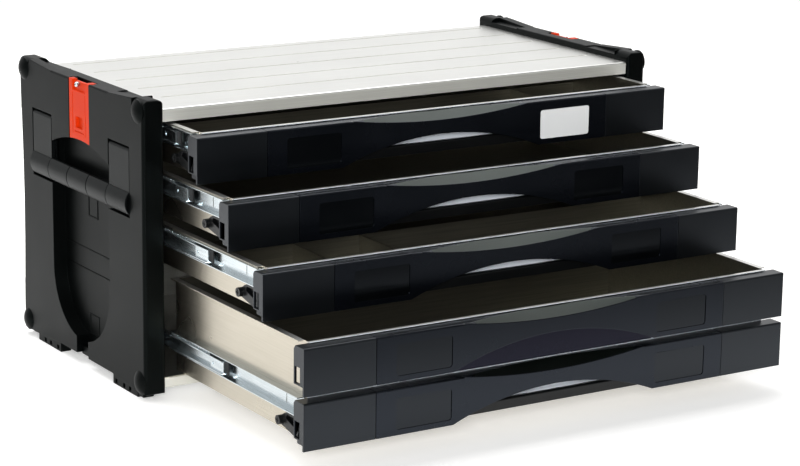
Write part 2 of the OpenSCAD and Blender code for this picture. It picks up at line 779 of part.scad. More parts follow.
// Lengthwise divider in the middle of a tray, and cross dividers from it to the tray's front
module dividers(crossing) {
    floor_z = tray_lift + tray_t;
    y0 = front_d + tray_t;
    y1 = (front_d + tray_rear_y) / 2;
    half = tray_x - tray_t;
    translate([-half, y1, floor_z]) cube([2 * half, divider_t, divider_h]);
    for (x = crossing) translate([x, y0, floor_z]) cube([divider_t, y1 - y0 + e, divider_h]);
}

module dividers_1() { color(steel) at_row(1) dividers([divider_x1]); }
module dividers_3() { color(steel) at_row(3) dividers([divider_x3, divider_x3 + divider_pitch]); }

// ---------- runners ----------

// Half heights of the flanges of the three members, outside faces
drawer_half = runner_h / 2;
mid_half = drawer_half - runner_t - 1.7;
case_half = mid_half - runner_t - 1.4;

// Depths of their flanges
drawer_deep = 8.5;
mid_deep = 6;
case_deep = 4.8;

// Places along the drawer member, from its front end
tab_y = 32;                    // lanced tab
first_hole_y = 12;
last_hole_y = 20;              // from its rear end
fixing_r = 2;

// Channel section with its web at x = 0 and its flanges towards -X
module channel(half, deep) {
    translate([-runner_t, -half]) square([runner_t, 2 * half]);
    for (z = [-half, half - runner_t]) translate([-deep, z]) square([deep, runner_t]);
}

// Left drawer member: web on the tray's side, flanges outwards, y = 0 on the closed face
module drawer_runner() {
    difference() {
        translate([-tray_x, 0, runner_z])
            wall(runner_y, runner_y + runner_l) channel(drawer_half, drawer_deep);
        // lanced tab and fixing holes
        translate([-tray_x - 3, runner_y + tab_y, runner_z - 5]) cube([4, 1.2, 10]);
        for (y = [runner_y + first_hole_y, runner_y + runner_l - last_hole_y])
            bar_x(-tray_x - 3, -tray_x + 1, y, runner_z, fixing_r);
    }
}

// Left intermediate member: web between the other two, flanges outwards
mid_web_x = runner_w - 4.4;    // from the side panel's inner face
stop_t = mid_web_x - case_deep - 0.4;   // thickness of the stop block
module mid_runner() {
    y0 = runner_y + bumper_l;
    translate([-inner_x + mid_web_x, 0, runner_z]) {
        wall(y0, runner_y + runner_l) channel(mid_half, mid_deep);
        // stop block between the flanges
        difference() {
            translate([-stop_t, y0, -mid_half + runner_t])
                cube([stop_t - runner_t / 2, runner_block_l, 2 * (mid_half - runner_t)]);
            bar_x(-stop_t - 1, 1 - stop_t, y0 + runner_block_l - 5, 0, 1.5);
        }
    }
}

module runner_bumper() {
    translate([-inner_x + mid_web_x - bumper_t, runner_y, runner_z - mid_half + 0.6])
        cube([bumper_t, bumper_l, 2 * mid_half - 1.2]);
}

// Left case member: web on the side panel, flanges inwards
module case_runner() {
    difference() {
        translate([-inner_x, 0, runner_z]) mirror([1, 0, 0])
            wall(runner_y, runner_y + runner_l) channel(case_half, case_deep);
        for (y = [runner_y + first_hole_y + 4, runner_y + runner_l - last_hole_y])
            bar_x(-inner_x - 1, -inner_x + 3, y, runner_z, fixing_r);
    }
}

module case_runners() {
    color(zinc) both_sides() stand()
        for (k = [1, 2, 3, 5]) translate([0, 0, row_z(k)]) case_runner();
}

// The intermediate members float between their stops and travel about half as far as their drawer.
module mid_place(k) {
    drawer = min(k, 4) - 1;
    translate([0, open_by[drawer] * (1 - mid_share[drawer]), 0]) at_row(k) both_sides() children();
}
module mid_runners_1() { color(zinc) mid_place(1) mid_runner(); }
module mid_runners_2() { color(zinc) mid_place(2) mid_runner(); }
module mid_runners_3() { color(zinc) mid_place(3) mid_runner(); }
module mid_runners_4() { color(zinc) mid_place(5) mid_runner(); }
module runner_bumpers_1() { color(rubber_black) mid_place(1) runner_bumper(); }
module runner_bumpers_2() { color(rubber_black) mid_place(2) runner_bumper(); }
module runner_bumpers_3() { color(rubber_black) mid_place(3) runner_bumper(); }
module runner_bumpers_4() { color(rubber_black) mid_place(5) runner_bumper(); }
module drawer_runners_1() { color(zinc) at_row(1) both_sides() drawer_runner(); }
module drawer_runners_2() { color(zinc) at_row(2) both_sides() drawer_runner(); }
module drawer_runners_3() { color(zinc) at_row(3) both_sides() drawer_runner(); }
module drawer_runners_4() { color(zinc) at_row(5) both_sides() drawer_runner(); }

// ---------- drawer release ----------

pivot_y = 10;                  // axis of the release bar behind the face
pivot_z = 9;
lever_x = cap_x - 5.4;         // outer face of a lever
lever_t = 6.5;
stud_z = 17;

// Bar behind the finger arch, from lever to lever
module release_bar() {
    slab(-lever_x + lever_t, lever_x - lever_t)
        polygon([[8, 3.6], [12, 3.6], [12.5, 5], [12.5, bar_rise], [9.5, bar_rise], [8, bar_rise - 1.5]]);
}

// Left lever with its journal and stud; z = 0 is the front's lower edge
module release_lever() {
    top_z = runner_z - drawer_half - 0.6;
    difference() {
        slab(-lever_x, -lever_x + lever_t) {
            polygon([[7, 4], [26, 6.5], [stud_y, stud_z - stud_d / 2], [stud_y, stud_z + stud_d / 2],
                     [46, top_z - 2], [41, top_z], [24, top_z], [12, bar_rise], [7, bar_rise]]);
            translate([stud_y, stud_z]) circle(d = stud_d);
        }
        // hollow in the outer face
        slab(-lever_x - 1, -lever_x + 4)
            polygon([[22, 14], [43, 20], [41, top_z - 2.5], [25, top_z - 2.5]]);
    }
    bar_x(-lever_x - 2.6, -lever_x + e, pivot_y, pivot_z, journal_d / 2);
    // stud with a cross recess
    difference() {
        bar_x(-lever_x - 4.5, -lever_x, stud_y, stud_z, stud_d / 2);
        for (a = [0, 90])
            translate([-lever_x - 4.5, stud_y, stud_z]) rotate([a, 0, 0])
                cube([2, 5, 1.2], center = true);
    }
}

module release_bar_1() { color(front_black) at_row(1) release_bar(); }
module release_bar_2() { color(front_black) at_row(2) release_bar(); }
module release_bar_3() { color(front_black) at_row(3) release_bar(); }
module release_bar_4() { color(front_black) at_row(5) release_bar(); }
module release_levers_1() { color(front_black) at_row(1) both_sides() release_lever(); }
module release_levers_2() { color(front_black) at_row(2) both_sides() release_lever(); }
module release_levers_3() { color(front_black) at_row(3) both_sides() release_lever(); }
module release_levers_4() { color(front_black) at_row(5) both_sides() release_lever(); }

side_panel_left();
side_panel_right();
top_plate();
bottom_plate();
back_panel();
case_screws();
case_runners();
hinge_pins();
handle_bail_left();
handle_bail_right();
handle_grip_left();
handle_grip_right();
latch_left();
latch_right();
latch_eyelet_left();
latch_eyelet_right();
tray_1();
tray_2();
tray_3();
tray_4();
dividers_1();
dividers_3();
front_1();
front_2();
front_3();
front_4_upper();
front_4_lower();
cap_left_1();
cap_left_2();
cap_left_3();
cap_left_4_upper();
cap_left_4_lower();
cap_right_1();
cap_right_2();
cap_right_3();
cap_right_4_upper();
cap_right_4_lower();
badge_plate();
drawer_runners_1();
drawer_runners_2();
drawer_runners_3();
drawer_runners_4();
mid_runners_1();
mid_runners_2();
mid_runners_3();
mid_runners_4();
runner_bumpers_1();
runner_bumpers_2();
runner_bumpers_3();
runner_bumpers_4();
release_bar_1();
release_bar_2();
release_bar_3();
release_bar_4();
release_levers_1();
release_levers_2();
release_levers_3();
release_levers_4();
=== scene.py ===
import json
from math import atan2, cos, radians, sin

import bpy
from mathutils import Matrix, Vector

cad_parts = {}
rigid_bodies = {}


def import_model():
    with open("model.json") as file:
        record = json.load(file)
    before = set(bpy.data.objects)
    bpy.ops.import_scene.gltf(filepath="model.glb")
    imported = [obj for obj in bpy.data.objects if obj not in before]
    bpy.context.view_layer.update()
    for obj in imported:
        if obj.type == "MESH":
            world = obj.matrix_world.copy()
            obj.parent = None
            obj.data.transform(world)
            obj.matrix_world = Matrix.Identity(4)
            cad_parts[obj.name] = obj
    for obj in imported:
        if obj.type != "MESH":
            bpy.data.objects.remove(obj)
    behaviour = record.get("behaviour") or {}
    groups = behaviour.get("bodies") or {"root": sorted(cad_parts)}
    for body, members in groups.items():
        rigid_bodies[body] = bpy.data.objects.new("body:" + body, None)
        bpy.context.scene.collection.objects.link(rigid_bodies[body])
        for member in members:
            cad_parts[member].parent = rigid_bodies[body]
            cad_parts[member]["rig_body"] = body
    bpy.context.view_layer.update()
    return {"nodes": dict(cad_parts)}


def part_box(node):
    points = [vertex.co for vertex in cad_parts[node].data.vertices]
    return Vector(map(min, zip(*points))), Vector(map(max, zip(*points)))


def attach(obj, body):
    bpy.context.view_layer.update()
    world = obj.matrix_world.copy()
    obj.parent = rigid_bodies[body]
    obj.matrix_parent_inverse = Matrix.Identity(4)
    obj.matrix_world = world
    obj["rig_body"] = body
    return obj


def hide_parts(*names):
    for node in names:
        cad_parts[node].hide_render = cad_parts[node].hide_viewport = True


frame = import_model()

# Finish of the tool box. Every CAD piece in view is copied with rounded edges and materials, some
# of which hold painted shade and painted highlights, and the fronts get their scoops. Only the
# balls and cages of the runners are new pieces.

mm = 0.001  # in metres
scene = bpy.context.scene


def deselect():
    if bpy.context.object and bpy.context.object.mode == "EDIT":
        bpy.ops.object.mode_set(mode="OBJECT")
    bpy.ops.object.select_all(action="DESELECT")


def boxOf(node):
    # the low and the high corner of a CAD node's box, in mm
    return [[v / mm for v in corner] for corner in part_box(node)]


def linear(code):
    # one sRGB hex colour as the linear values that a shader takes
    parts = [int(code[i:i + 2], 16) / 255 for i in (1, 3, 5)]
    parts = [c / 12.92 if c <= 0.04045 else ((c + 0.055) / 1.055) ** 2.4 for c in parts]
    return (*parts, 1.0)


def wire(owner, node, inputs):
    # sets sockets, given by name or number, to a value or to another node's output
    for socket, value in inputs.items():
        if isinstance(value, bpy.types.NodeSocket):
            owner.node_tree.links.new(value, node.inputs[socket])
        else:
            node.inputs[socket].default_value = value


def add(owner, kind, inputs=(), stops=(), **settings):
    # adds one node with its links; stops holds the places and hex colours of a colour ramp
    node = owner.node_tree.nodes.new(kind)
    for name, value in settings.items():
        setattr(node, name, value)
    wire(owner, node, dict(inputs))
    for k, (place, colour) in enumerate(stops):
        node.color_ramp.elements[k].position = place
        node.color_ramp.elements[k].color = linear(colour)
    return node


print("camera and lamps")
# metres and degrees; the lens and the sensor are in mm
camera = {"place": (-1.40544, -2.23336, 0.78700), "turn": (76.1351, -0.7735, -31.9552),
          "lens": 116.409, "sensor": 36, "farthest": 50}
# soft boxes. The front one stands on the camera's side, so that the flat fronts don't mirror it.
lamps = {
    "roofLight": {"place": (0.1, 0.9, 2.2), "target": (0.1, 0.8, 0), "size": (3.2, 1.8),
                  "watts": 33.0, "spread": 120},
    "leftLight": {"place": (-2.4, -0.7, 0.9), "target": (-0.3, 0.1, 0.15), "size": (1.4, 1.0),
                  "watts": 1.5, "spread": 100},
    "frontLight": {"place": (-1.7, -2.5, 1.0), "target": (0.05, -0.2, 0.2), "size": (1.0, 0.7),
                   "watts": 16.0, "spread": 80}}

deselect()
bpy.ops.object.camera_add(location=camera["place"], rotation=[radians(a) for a in camera["turn"]])
bpy.context.object.data.lens = camera["lens"]
bpy.context.object.data.sensor_width = camera["sensor"]
bpy.context.object.data.clip_end = camera["farthest"]
scene.camera = bpy.context.object
scene.view_settings.view_transform = "Standard"

for name, box in lamps.items():
    bpy.ops.object.light_add(type="AREA", location=box["place"])
    lamp = bpy.context.object
    lamp.name = name
    aim = Vector(box["target"]) - Vector(box["place"])
    lamp.rotation_euler = aim.to_track_quat("-Z", "Y").to_euler()
    lamp.data.shape = "RECTANGLE"
    lamp.data.size, lamp.data.size_y = box["size"]
    lamp.data.energy = box["watts"]
    lamp.data.spread = radians(box["spread"])
    lamp.visible_camera = False

print("room")
# brightness of the room behind the box, in front of it near the floor and higher up, and the share
# left overhead. The fades give the parts of a view's direction between which each one sets in.
room = {"behind": 0.92, "inFront": 0.04, "frontSky": 0.45, "overhead": 0.35,
        "skyFade": (0.05, 0.3), "depthFade": (-0.05, 0.55), "overheadFade": (0.6, 0.95)}

world = bpy.data.worlds.new("studioRoom")
scene.world = world
world.use_nodes = True
view = add(world, "ShaderNodeTexCoord").outputs["Generated"]
way = add(world, "ShaderNodeSeparateXYZ", {0: view})
low, high = room["skyFade"]
frontGlow = add(world, "ShaderNodeMapRange",
                {0: way.outputs["Z"], 1: low, 2: high, 3: room["inFront"], 4: room["frontSky"]})
low, high = room["depthFade"]
wallGlow = add(world, "ShaderNodeMapRange",
               {0: way.outputs["Y"], 1: low, 2: high, 3: frontGlow.outputs[0], 4: room["behind"]},
               interpolation_type="SMOOTHSTEP")
low, high = room["overheadFade"]
overhead = add(world, "ShaderNodeMapRange",
               {0: way.outputs["Z"], 1: low, 2: high, 3: 1.0, 4: room["overhead"]})
glow = add(world, "ShaderNodeMath", {0: wallGlow.outputs[0], 1: overhead.outputs[0]},
           operation="MULTIPLY")
# the camera itself sees plain white
eye = add(world, "ShaderNodeLightPath").outputs["Is Camera Ray"]
shown = add(world, "ShaderNodeMath", {0: glow.outputs[0], 1: eye}, operation="MAXIMUM")
wire(world, world.node_tree.nodes["Background"], {0: linear("#ffffff"), 1: shown.outputs[0]})

print("floor")
# the paper is pale under and behind the box and dark in front of it, between two depths in metres;
# the dark front is painted shade, which the glossy fronts mirror.
# The lifts are the light that it gives off itself, so that the camera sees it white all over.
floorPaper = {"size": 24.0, "roughness": 0.9, "ior": 1.2, "dimFrom": -0.42, "dimTo": -0.78,
              "colour": "#f4f4f3", "lift": 0.30, "front": "#3c3c3c", "frontLift": 0.95}

bpy.ops.mesh.primitive_plane_add(size=floorPaper["size"])
floor = bpy.context.object
floor.name = "floor"
paper = bpy.data.materials.new("palePaper")
paper.use_nodes = True
ray = add(paper, "ShaderNodeLightPath").outputs
place = add(paper, "ShaderNodeTexCoord").outputs["Object"]
spot = add(paper, "ShaderNodeSeparateXYZ", {0: place})
near = add(paper, "ShaderNodeMapRange",
           {0: spot.outputs["Y"], 1: floorPaper["dimTo"], 2: floorPaper["dimFrom"]})
lift = add(paper, "ShaderNodeMapRange",
           {0: near.outputs[0], 3: floorPaper["frontLift"], 4: floorPaper["lift"]})
# what metal mirrors is lifted too, though only where the paper is pale
mirrored = add(paper, "ShaderNodeMath", {0: ray["Is Glossy Ray"], 1: ray["Is Transmission Ray"]},
               operation="ADD")
for factor in (near.outputs[0], floorPaper["lift"]):
    mirrored = add(paper, "ShaderNodeMath", {0: mirrored.outputs[0], 1: factor},
                   operation="MULTIPLY")
seen = add(paper, "ShaderNodeMath",
           {0: ray["Is Camera Ray"], 1: lift.outputs[0], 2: mirrored.outputs[0]},
           operation="MULTIPLY_ADD")
# the dark front colour is painted shade
tone = add(paper, "ShaderNodeValToRGB", {0: near.outputs[0]},
           stops=((0, floorPaper["front"]), (1, floorPaper["colour"])))
wire(paper, paper.node_tree.nodes["Principled BSDF"],
     {"Roughness": floorPaper["roughness"], "IOR": floorPaper["ior"],
      "Base Color": tone.outputs[0], "Emission Color": linear("#ffffff"),
      "Emission Strength": seen.outputs[0]})
floor.data.materials.append(paper)

print("materials")
# a patch is the size of the broad uneven areas, in mm. The part of the noise between the two
# spread values mixes the colours, and the sheen values are what the noise takes off and adds to
# the roughness. Strength is that of the bump.
plastic = {"patch": 45, "patchDetail": 3.0, "grainDetail": 2.0, "strength": 0.6}
metal = {"patch": 60, "patchDetail": 2.0, "scratchDetail": 4.0, "strength": 0.5}
uneven = {"spread": (0.3, 0.7), "sheen": (-0.05, 0.06)}


def newMaterial(name):
    material = bpy.data.materials.new(name)
    material.use_nodes = True
    return material, add(material, "ShaderNodeTexCoord").outputs["Object"]


def coat(material, mixer, colours, patches, roughness, relief, strength, depth, **sockets):
    # mixes two colours, lets the sheen change over the patches and raises the relief
    tone = add(material, "ShaderNodeValToRGB", {0: mixer}, stops=zip(uneven["spread"], colours))
    less, more = uneven["sheen"]
    sheen = add(material, "ShaderNodeMapRange",
                {0: patches, 3: roughness + less, 4: roughness + more})
    bump = add(material, "ShaderNodeBump",
               {"Height": relief, "Strength": strength, "Distance": depth * mm})
    shader = material.node_tree.nodes["Principled BSDF"]
    wire(material, shader, {"Base Color": tone.outputs[0], "Roughness": sheen.outputs[0],
                            "Normal": bump.outputs[0], **sockets})


def mouldedPlastic(name, colour, worn, roughness, grain, depth, ior, tint="#ffffff"):
    # plastic from a spark-eroded mould: a fine dull grain, a little uneven in colour and sheen.
    # The real grain is about 0.3 mm; it is drawn coarser so that it shows.
    material, place = newMaterial(name)
    patches = add(material, "ShaderNodeTexNoise",
                  {"Vector": place, "Scale": 1 / (plastic["patch"] * mm),
                   "Detail": plastic["patchDetail"]}).outputs[0]
    pits = add(material, "ShaderNodeTexNoise",
               {"Vector": place, "Scale": 1 / (grain * mm),
                "Detail": plastic["grainDetail"]}).outputs[0]
    coat(material, patches, (colour, worn), patches, roughness, pits, plastic["strength"], depth,
         **{"IOR": ior, "Specular Tint": linear(tint)})
    return material


def brushedMetal(name, colour, dull, roughness, streak, line, depth, axis, metallic=1.0):
    # sheet with a brushed face: long fine scratches along one axis, which spread its shine across
    # them. The real ones are about 0.1 mm apart; they are drawn coarser so that they show.
    material, place = newMaterial(name)
    scale = [1 / (line * mm)] * 3
    scale[axis] = 1 / (streak * mm)
    brush = add(material, "ShaderNodeMapping", {"Vector": place, "Scale": scale}).outputs[0]
    scratches = add(material, "ShaderNodeTexNoise",
                    {"Vector": brush, "Scale": 1.0, "Detail": metal["scratchDetail"]}).outputs[0]
    patches = add(material, "ShaderNodeTexNoise",
                  {"Vector": place, "Scale": 1 / (metal["patch"] * mm),
                   "Detail": metal["patchDetail"]}).outputs[0]
    coat(material, scratches, (dull, colour), patches, roughness, scratches, metal["strength"],
         depth, Metallic=metallic)
    return material


# grain, streak, line and depth are in mm. A low IOR keeps a plastic deep under the bright room.

# glass-filled polypropylene from a rough mould: matt black with a wide, faint, cool shine
panelPlastic = mouldedPlastic("mouldedPolypropylene", "#030404", "#060707", roughness=0.38,
                              grain=1.1, depth=0.12, ior=1.17, tint="#d2e4e0")
# rubbery skin on the handles: a touch lighter and softer than the panels
gripPlastic = mouldedPlastic("softTouchGrip", "#08090a", "#0c0e0e", roughness=0.36,
                             grain=0.9, depth=0.08, ior=1.2, tint="#d8e8e6")
# ABS from a satin mould: blue-black, with a clear edge to what it mirrors
frontPlastic = mouldedPlastic("satinAbs", "#020305", "#040508", roughness=0.26,
                              grain=0.9, depth=0.04, ior=1.48, tint="#cfdcf2")
# ABS from a grained mould: the same black, duller and a little greyer on its top edges
capPlastic = mouldedPlastic("grainedAbs", "#030405", "#050607", roughness=0.32,
                            grain=1.0, depth=0.08, ior=1.54, tint="#d6e0ee")
# ABS in the depth behind the arches, set to reflect less than the face: painted shade, so that
# nearly no light comes back
shadedPlastic = mouldedPlastic("smoothAbs", "#020205", "#040407", roughness=0.26,
                               grain=0.9, depth=0.04, ior=1.42, tint="#b9b9e6")
# ABS on the scoops, a touch greener than the face and with a green-tinted shine: a painted
# grey-green reflection of the room overhead
scoopPlastic = mouldedPlastic("polishedAbs", "#040605", "#070908", roughness=0.30,
                              grain=0.9, depth=0.03, ior=1.48, tint="#d3e6dc")
# clear film over the empty label recesses: glossier than the plastic round it
labelFilm = mouldedPlastic("clearLabelFilm", "#020304", "#040506", roughness=0.12,
                           grain=3.0, depth=0.01, ior=1.45, tint="#d6e0ee")
# acetal of the release bars: plain even black, slightly waxy
leverPlastic = mouldedPlastic("blackAcetal", "#040506", "#060708", roughness=0.34,
                              grain=0.9, depth=0.04, ior=1.4)
# dyed polyamide of the latches: strong orange-red with hardly any shine over it
latchPlastic = mouldedPlastic("dyedPolyamide", "#c62e05", "#cd3609", roughness=0.36,
                              grain=0.9, depth=0.04, ior=1.16)
# vulcanised rubber of the bumpers: dull dark grey
blackRubber = mouldedPlastic("blackRubber", "#0c0c0d", "#101011", roughness=0.6,
                             grain=0.8, depth=0.05, ior=1.4)
# stove enamel on the blank plate: smooth, bright and white
whiteEnamel = mouldedPlastic("stoveEnamel", "#e6e7e7", "#dfe1e1", roughness=0.25,
                             grain=2.0, depth=0.01, ior=1.5)
# brushed aluminium of the plates: near white, streaked across the width. On the steel rims of the
# trays it is a painted highlight
plateAluminiumAndRimHighlight = brushedMetal("brushedAluminium", "#e7e7e4", "#e0e0dc", roughness=0.30,
                              streak=90, line=0.9, depth=0.015, axis=0)
# aluminium on the plates' faces that look forwards, the folded lips among them: duller and half
# metallic, so flat satin grey
forwardFaceAluminium = brushedMetal("satinAluminium", "#e7e7e0", "#dcdcd4", roughness=0.45,
                             streak=90, line=0.9, depth=0.01, axis=0, metallic=0.6)
# aluminium as it leaves the mill, on the back panel: greyer and without a sharp gleam
millAluminium = brushedMetal("millFinishAluminium", "#aaaba9", "#9fa09e", roughness=0.45,
                             streak=90, line=0.9, depth=0.008, axis=0)
# brushed steel outside the trays: warm grey, streaked along the slide
traySteel = brushedMetal("brushedSteel", "#c6bfb1", "#beb7a8", roughness=0.28,
                         streak=70, line=1.2, depth=0.004, axis=1)
# steel inside the trays, darker and more brownish than outside: painted shade, with soft
# reflections
shadedInsideSteel = brushedMetal("oiledSteel", "#858277", "#75736a", roughness=0.38,
                           streak=80, line=1.6, depth=0.006, axis=0)
# pale steel on the outer front walls of the trays, seen under the arches: a painted highlight,
# rough so that it scatters nearly all light
highlightWallSteel = brushedMetal("sandedSteel", "#e9eff6", "#dde4ec", roughness=0.50,
                         streak=70, line=1.6, depth=0.01, axis=0, metallic=0.35)
# bright zinc on runners, pins and screws: cool and fairly sharp in its reflections
zincSteel = brushedMetal("zincPlatedSteel", "#d6dde0", "#c0c9cd", roughness=0.22,
                         streak=30, line=1.2, depth=0.02, axis=1)


def block(low, high):
    # a box between two corners, given in mm
    middle = [(a + b) / 2 * mm for a, b in zip(low, high)]
    bpy.ops.mesh.primitive_cube_add(size=1, location=middle,
                                    scale=[(b - a) * mm for a, b in zip(low, high)])
    bpy.ops.object.transform_apply(location=True, rotation=True, scale=True)
    return bpy.context.object


def combine(piece, tool, operation):
    # joins a solid to the piece or cuts it out, and uses the solid up
    fit = piece.modifiers.new("fit", "BOOLEAN")
    fit.operation = operation
    fit.object = tool
    deselect()
    bpy.context.view_layer.objects.active = piece
    piece.select_set(True)
    bpy.ops.object.modifier_apply(modifier=fit.name)
    bpy.data.objects.remove(tool)


# the width of the rounding on each piece's edges and the shortest edge that gets it, mm. Shorter
# ones stay sharp, so that fine corners keep their shape.
edge = {"sidePanel": (0.5, 2), "handleBail": (0.6, 1), "handleGrip": (0.5, 1),
        "stackingLatch": (0.6, 1), "latchEyelet": (0.3, 0.2), "topPlate": (0.3, 0.5),
        "bottomPlate": (0.3, 0.5), "backPanel": (0.3, 0.5), "caseRunners": (0.2, 0.3),
        "tray": (0.25, 0.3), "dividers": (0.2, 0.2), "drawerRunners": (0.2, 0.3),
        "midRunners": (0.2, 0.3), "runnerBumpers": (0.3, 0.5), "releaseBar": (0.5, 0.5),
        "releaseLevers": (0.4, 0.4), "front": (0.5, 1), "endCap": (0.5, 3),
        "badgePlate": (0.2, 0.3)}
# points closer than merge, in mm, become one, and so do faces within an angle of each other, in
# degrees: the finer angle keeps a curve that was just cut. Segments are the steps of a rounding.
mesh = {"merge": 0.001, "flat": 1, "flatCurve": 0.3, "segments": 2}


def copyOf(node, name):
    # a copy of a CAD node as one joined mesh, without the node's parent and properties, left open
    # in edit mode
    deselect()
    source = frame["nodes"][node]
    source.select_set(True)
    bpy.context.view_layer.objects.active = source
    bpy.ops.object.duplicate()
    piece = bpy.context.object
    piece.name = name
    for key in list(piece.keys()):
        del piece[key]
    piece.parent = None
    bpy.ops.object.mode_set(mode="EDIT")
    bpy.ops.mesh.select_all(action="SELECT")
    bpy.ops.mesh.customdata_custom_splitnormals_clear()
    bpy.ops.mesh.remove_doubles(threshold=mesh["merge"] * mm)
    return piece


def roundEdges(piece, width, shortest, corner, flat):
    # joins faces within the angle `flat`, then rounds edges where they turn by more than `corner`
    bpy.ops.mesh.select_all(action="SELECT")
    bpy.ops.mesh.dissolve_limited(angle_limit=radians(flat), delimit={"NORMAL"})
    bpy.ops.mesh.select_all(action="DESELECT")
    bpy.ops.mesh.select_mode(type="EDGE")
    bpy.ops.mesh.edges_select_sharp(sharpness=radians(corner))
    bpy.ops.object.mode_set(mode="OBJECT")
    points = piece.data.vertices
    weight = piece.data.attributes.new("bevel_weight_edge", "FLOAT", "EDGE")
    for line in piece.data.edges:
        start, end = (points[i].co for i in line.vertices)
        long = (start - end).length >= shortest * mm
        weight.data[line.index].value = float(line.select and long)
    low, high = [[pick(point.co[i] for point in points) for i in range(3)] for pick in (min, max)]
    rounding = piece.modifiers.new("rounding", "BEVEL")
    rounding.width = width * mm
    rounding.segments = mesh["segments"]
    rounding.limit_method = "WEIGHT"
    rounding.use_clamp_overlap = False
    rounding.miter_outer = "MITER_SHARP"
    bpy.ops.object.modifier_apply(modifier=rounding.name)
    for point in piece.data.vertices:  # a sharp corner's mitre never leaves the box
        point.co = [min(max(v, a), b) for v, a, b in zip(point.co, low, high)]
    bpy.ops.object.shade_smooth_by_angle(angle=radians(corner))
    shading = piece.modifiers.new("shading", "WEIGHTED_NORMAL")  # broad faces look flat with it
    shading.keep_sharp = True
    shading.weight = 100
    bpy.ops.object.modifier_apply(modifier=shading.name)


def softened(node, name, material, corner=30, shape=None):
    # a copy of a CAD node with rounded edges, riding where the node rides. A shape is a function
    # that works on the copy first; it gets the corners of the node's box.
    piece = copyOf(node, name)
    if shape:
        bpy.ops.object.mode_set(mode="OBJECT")
        shape(piece, *boxOf(node))
        bpy.ops.object.mode_set(mode="EDIT")
    roundEdges(piece, *edge[name.split(".")[0]], corner, mesh["flatCurve" if shape else "flat"])
    piece.data.materials.clear()
    piece.data.materials.append(material)
    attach(piece, frame["nodes"][node]["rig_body"])
    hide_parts(node)
    return piece


# how much of a face's normal lies on an axis when the face looks roughly or squarely along it
looks = {"roughly": 0.9, "squarely": 0.99}


def paint(piece, node, others, choose):
    # gives faces one of the other materials. choose returns it, or nothing, from a face's centre
    # and normal and from the two corners of the node's box, in mm.
    low, high = boxOf(node)
    for material in others:
        piece.data.materials.append(material)
    for face in piece.data.polygons:
        chosen = choose(face.center / mm, face.normal, low, high)
        if chosen:
            face.material_index = piece.data.materials.find(chosen.name)


print("case")
for side in ("left", "right"):
    softened(f"side_panel_{side}", f"sidePanel.{side}", panelPlastic)
    softened(f"handle_bail_{side}", f"handleBail.{side}", gripPlastic)
    softened(f"handle_grip_{side}", f"handleGrip.{side}", gripPlastic)
    softened(f"latch_{side}", f"stackingLatch.{side}", latchPlastic)
    softened(f"latch_eyelet_{side}", f"latchEyelet.{side}", zincSteel)


def plateFinish(spot, normal, low, high):
    return forwardFaceAluminium if normal.y < -looks["roughly"] else None


for node, name, sheet in (("top_plate", "topPlate", plateAluminiumAndRimHighlight),
                          ("bottom_plate", "bottomPlate", plateAluminiumAndRimHighlight),
                          ("back_panel", "backPanel", millAluminium)):
    plate = softened(node, name, sheet)
    paint(plate, node, [forwardFaceAluminium], plateFinish)
softened("case_runners", "caseRunners", zincSteel)
for node in ("case_screws", "hinge_pins"):
    slots = frame["nodes"][node].data.materials
    slots.clear()
    slots.append(zincSteel)

print("drawers")
# reach of a wall from the outside of the tray's box and of the rim from its top, mm, and how far
# a side wall has to look inwards, as a part of its normal
tray = {"wall": 8.0, "rim": 0.2, "inwards": 0.75}


def trayPaintedLight(spot, normal, low, high):
    wall, rim, roughly = tray["wall"], tray["rim"], looks["roughly"]
    inwards = -normal.x if spot.x > 0 else normal.x
    side = inwards > tray["inwards"] and abs(spot.x) > high[0] - wall
    front = normal.y > roughly and spot.y < low[1] + wall
    back = normal.y < -roughly and spot.y > high[1] - wall
    ground = normal.z > roughly and spot.z < low[2] + wall
    # the faces inside the tray get painted shade
    if side or front or back or ground:
        return shadedInsideSteel
    # the outer face of the front wall gets the painted highlight
    if normal.y < -roughly and spot.y < low[1] + wall:
        return highlightWallSteel
    # the rim's top faces get the plate aluminium as a painted highlight
    if normal.z > roughly and spot.z > high[2] - rim:
        return plateAluminiumAndRimHighlight


for k in (1, 2, 3, 4):
    piece = softened(f"tray_{k}", f"tray.{k}", traySteel)
    paint(piece, f"tray_{k}", [shadedInsideSteel, highlightWallSteel, plateAluminiumAndRimHighlight], trayPaintedLight)
    softened(f"drawer_runners_{k}", f"drawerRunners.{k}", zincSteel)
    softened(f"mid_runners_{k}", f"midRunners.{k}", zincSteel)
    softened(f"runner_bumpers_{k}", f"runnerBumpers.{k}", blackRubber)
    softened(f"release_bar_{k}", f"releaseBar.{k}", leverPlastic)
    softened(f"release_levers_{k}", f"releaseLevers.{k}", leverPlastic)
# the dividers take the painted shade of the tray insides
for k in (1, 3):
    softened(f"dividers_{k}", f"dividers.{k}", shadedInsideSteel)

print("fronts")
# all in mm. The scoop is a flat arc on the face, `half` to each side and `depth` low, from which a
# ramp rises to the tray's rim over `reach`; the front is filled in under it first.
scoop = {"half": 115, "depth": 8, "reach": 14, "filled": 106, "deep": 16.5, "thick": 12,
         "facets": 720}
# the rear wall behind the face, with painted shade on its face, and the part of it that hangs
# below the blank upper front to darken the gap there
rearWall = {"back": 9, "half": 122, "thick": 2.5, "drop": 3, "overlap": 5}
# how far behind the face a label recess ends, and the slack in finding faces by their depth
label = {"depth": 0.8, "slack": 0.1}
# least slope of the ramp's faces, forwards and upwards, and where it starts below the top and
# behind the face
ramp = {"forwards": 0.3, "upwards": 0.5, "below": 9, "behind": 1.5}


